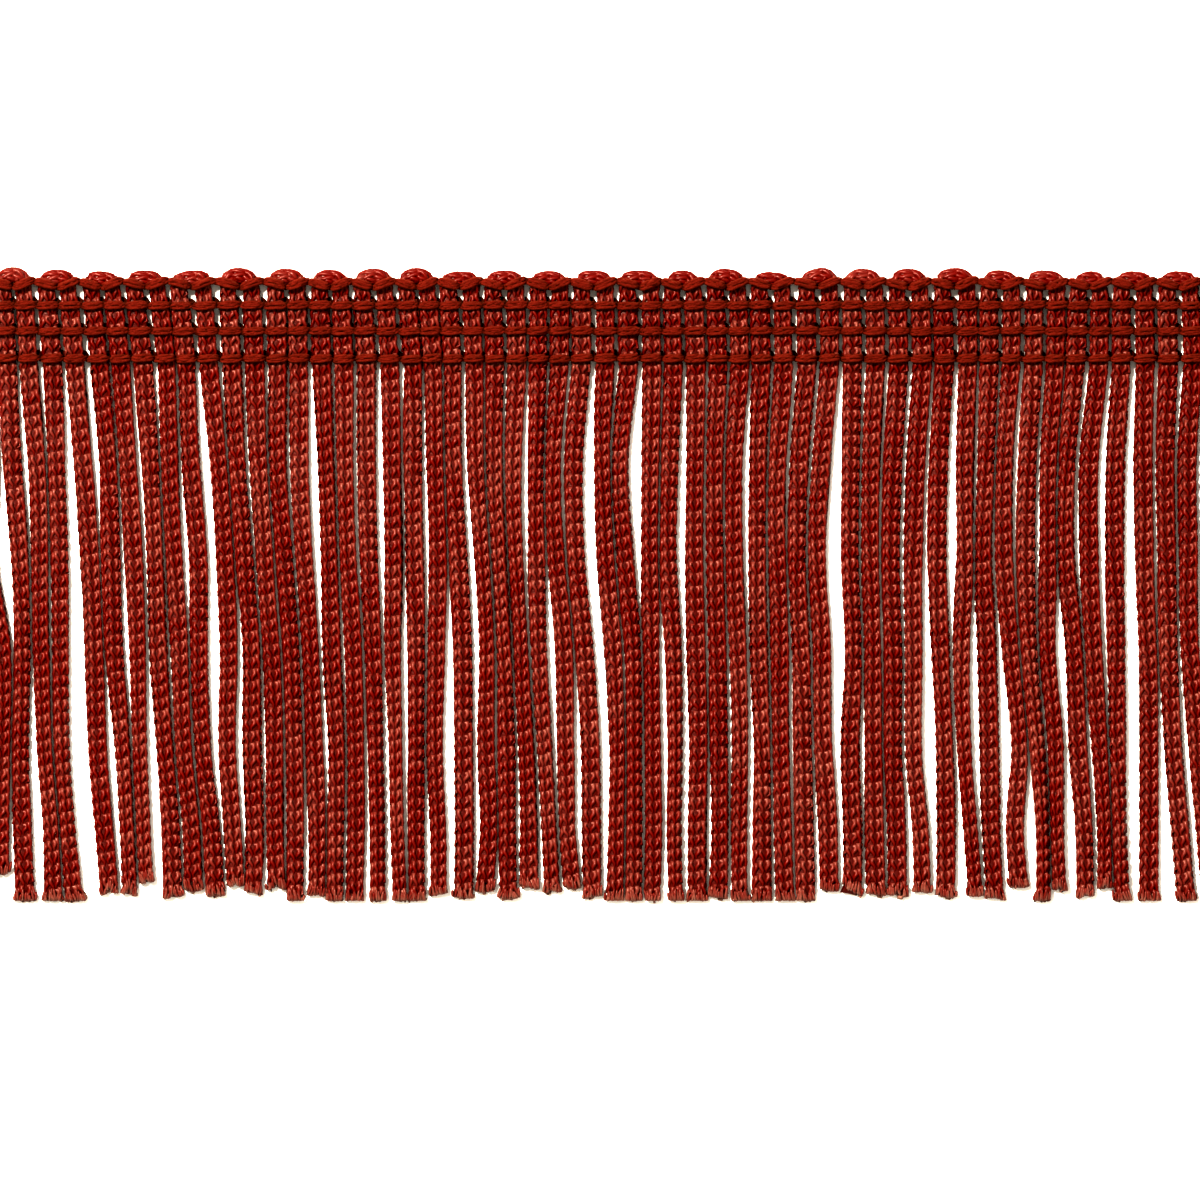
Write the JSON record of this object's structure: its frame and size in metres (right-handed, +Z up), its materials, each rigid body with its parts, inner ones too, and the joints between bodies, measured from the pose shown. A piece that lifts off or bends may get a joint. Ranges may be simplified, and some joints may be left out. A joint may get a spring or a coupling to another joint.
{
  "type": "chainette fringe trim",
  "caption": "Cut length of chainette fringe trim: knitted cord legs below a stitched heading with a scalloped top edge.",
  "frame": {"origin": "on the surface that the trim lies on, below the middle of the whole trim", "axes": "+X along the trim, +Y across it towards the scalloped edge, +Z up, out of the trim's face"},
  "size_m": [0.1588, 0.0764, 0.0021],
  "materials": {
    "chainette_cord": "glossy rayon knit",
    "warp_yarn": "matte twisted yarn"
  },
  "bodies": {
    "root": {"fringe": "chainette_cord", "heading": "chainette_cord", "chain_row_1": "warp_yarn", "chain_row_2": "warp_yarn", "chain_row_3": "warp_yarn", "chain_row_4": "warp_yarn"}
  },
  "joints": []
}
